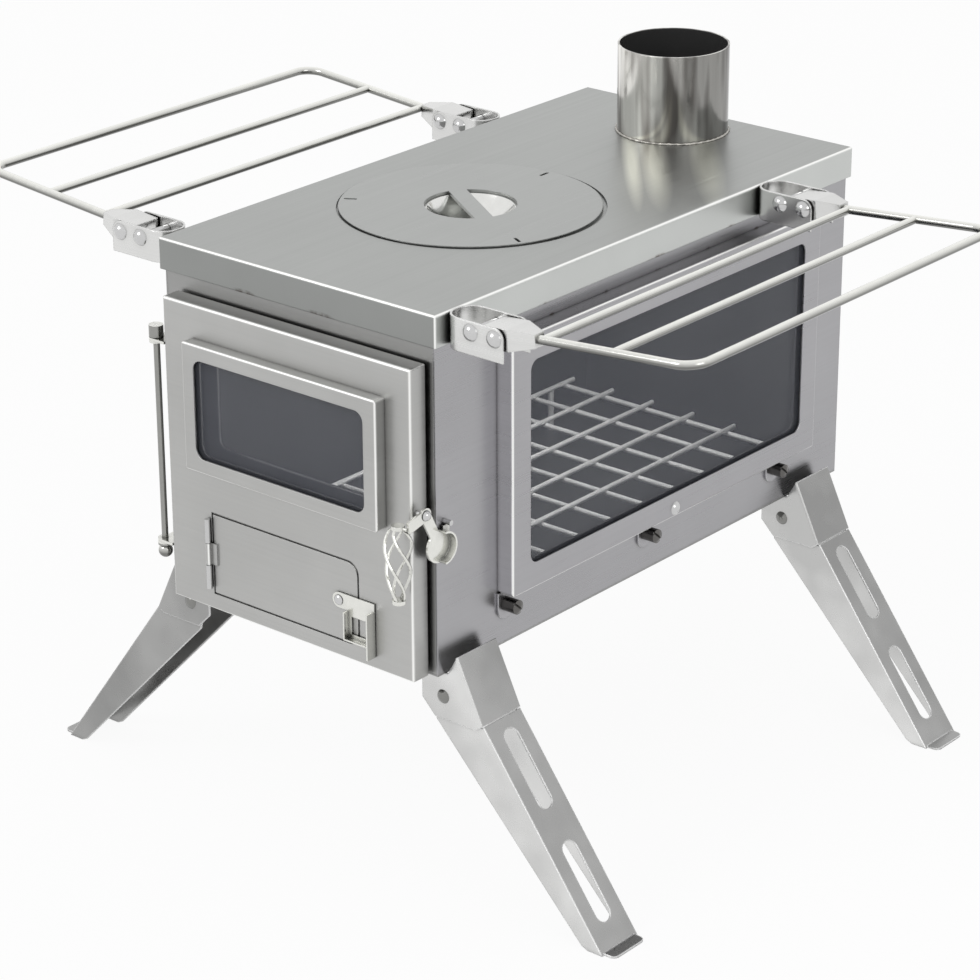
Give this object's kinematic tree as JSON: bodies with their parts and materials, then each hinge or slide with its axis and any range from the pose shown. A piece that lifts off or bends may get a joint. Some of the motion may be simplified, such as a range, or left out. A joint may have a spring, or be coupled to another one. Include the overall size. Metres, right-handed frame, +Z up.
{
  "type": "camping wood stove",
  "caption": "Folding camping wood stove: stainless firebox with windowed door, large side window, hob lid, flue collar, folding legs and folding wire side shelves.",
  "frame": {"origin": "on the ground, under the middle of the stove's outline with legs and shelves unfolded", "axes": "+Z up, -Y towards the side with the door, +X towards the side with the large window"},
  "size_m": [0.6824, 0.5428, 0.5289],
  "materials": {
    "stainless_sheet": "brushed stainless sheet",
    "bright_stainless": "polished stainless",
    "steel_wire": "satin stainless wire",
    "rivet_steel": "polished rivet head",
    "dark_fastener": "dark screw",
    "tinted_glass": "grey tinted ceramic glass",
    "glass_tape": "woven glass tape",
    "rope_gasket": "black glass-fibre rope"
  },
  "bodies": {
    "stove": {"bottom_panel": "stainless_sheet", "left_panel": "stainless_sheet", "right_panel": "stainless_sheet", "back_panel": "stainless_sheet", "front_panel": "stainless_sheet", "top_plate": "stainless_sheet", "hob_seat": "stainless_sheet", "flue_collar": "bright_stainless", "flue_weld": "bright_stainless", "side_window_frame": "stainless_sheet", "side_window_glass": "tinted_glass", "side_window_gasket": "glass_tape", "side_window_retainer": "stainless_sheet", "side_window_clips": "stainless_sheet", "side_window_screws": "dark_fastener", "side_window_button": "rivet_steel", "hinge_ears_body": "stainless_sheet", "hinge_rod": "steel_wire", "keeper_pin": "rivet_steel", "leg_bracket_front_right": "stainless_sheet", "leg_bracket_front_left": "stainless_sheet", "leg_bracket_rear_right": "stainless_sheet", "leg_bracket_rear_left": "stainless_sheet", "leg_rivets": "rivet_steel", "shelf_brackets_right": "stainless_sheet", "shelf_brackets_left": "stainless_sheet", "shelf_rivets": "rivet_steel"},
    "grate": {"grate_long_wires": "steel_wire", "grate_cross_wires": "steel_wire", "grate_feet": "steel_wire"},
    "hob_lid": {"hob_lid": "stainless_sheet", "hob_dish": "bright_stainless"},
    "door": {"door_panel": "stainless_sheet", "door_liner": "stainless_sheet", "door_rope": "rope_gasket", "door_window_frame": "stainless_sheet", "door_window_glass": "tinted_glass", "door_window_gasket": "glass_tape", "door_window_retainer": "stainless_sheet", "damper_seat": "stainless_sheet", "damper_knuckles": "rivet_steel", "damper_pin": "rivet_steel", "hinge_ears_door": "stainless_sheet", "latch_pivot": "rivet_steel"},
    "damper": {"damper_flap": "stainless_sheet", "damper_rivet": "rivet_steel"},
    "damper_latch": {"damper_latch": "stainless_sheet"},
    "door_latch": {"latch_plate": "stainless_sheet", "latch_handle": "steel_wire"},
    "leg_front_right": {"leg_front_right": "stainless_sheet"},
    "leg_front_left": {"leg_front_left": "stainless_sheet"},
    "leg_rear_right": {"leg_rear_right": "stainless_sheet"},
    "leg_rear_left": {"leg_rear_left": "stainless_sheet"},
    "shelf_right": {"shelf_frame_right": "steel_wire", "shelf_arms_right": "stainless_sheet"},
    "shelf_left": {"shelf_frame_left": "steel_wire", "shelf_arms_left": "stainless_sheet"}
  },
  "joints": [
    {"name": "grate_lift", "type": "slide", "parent": "stove", "child": "grate", "axis": [0, 0, 1], "range_m": [0, 0.04]},
    {"name": "hob_lid_lift", "type": "slide", "parent": "stove", "child": "hob_lid", "axis": [0, 0, 1], "range_m": [0, 0.1]},
    {"name": "door_swing", "type": "hinge", "parent": "stove", "child": "door", "pos_m": [-0.129, -0.24246, 0.301], "axis": [0, 0, -1], "range_deg": [0, 120]},
    {"name": "damper_swing", "type": "hinge", "parent": "door", "child": "damper", "pos_m": [-0.0754, -0.25056, 0.2275], "axis": [0, 0, -1], "range_deg": [0, 100]},
    {"name": "damper_latch_turn", "type": "hinge", "parent": "damper", "child": "damper_latch", "pos_m": [0.054, -0.24896, 0.2275], "axis": [0, 1, 0], "range_deg": [0, 90]},
    {"name": "door_latch_turn", "type": "hinge", "parent": "door", "child": "door_latch", "pos_m": [0.1314, -0.24246, 0.3124], "axis": [-1, 0, 0], "range_deg": [0, 70]},
    {"name": "leg_front_right_fold", "type": "hinge", "parent": "stove", "child": "leg_front_right", "pos_m": [0.1274, -0.19796, 0.162], "axis": [0, 1, 0], "range_deg": [0, 126]},
    {"name": "leg_front_left_fold", "type": "hinge", "parent": "stove", "child": "leg_front_left", "pos_m": [-0.1274, -0.19796, 0.162], "axis": [0, -1, 0], "range_deg": [0, 54]},
    {"name": "leg_rear_right_fold", "type": "hinge", "parent": "stove", "child": "leg_rear_right", "pos_m": [0.1274, 0.22104, 0.162], "axis": [0, 1, 0], "range_deg": [0, 126]},
    {"name": "leg_rear_left_fold", "type": "hinge", "parent": "stove", "child": "leg_rear_left", "pos_m": [-0.1274, 0.22104, 0.162], "axis": [0, -1, 0], "range_deg": [0, 54]},
    {"name": "shelf_right_fold", "type": "hinge", "parent": "stove", "child": "shelf_right", "pos_m": [0.18, -0.02946, 0.4499], "axis": [0, -1, 0], "range_deg": [0, 144]},
    {"name": "shelf_left_fold", "type": "hinge", "parent": "stove", "child": "shelf_left", "pos_m": [-0.18, -0.02946, 0.4499], "axis": [0, 1, 0], "range_deg": [0, 144]}
  ]
}
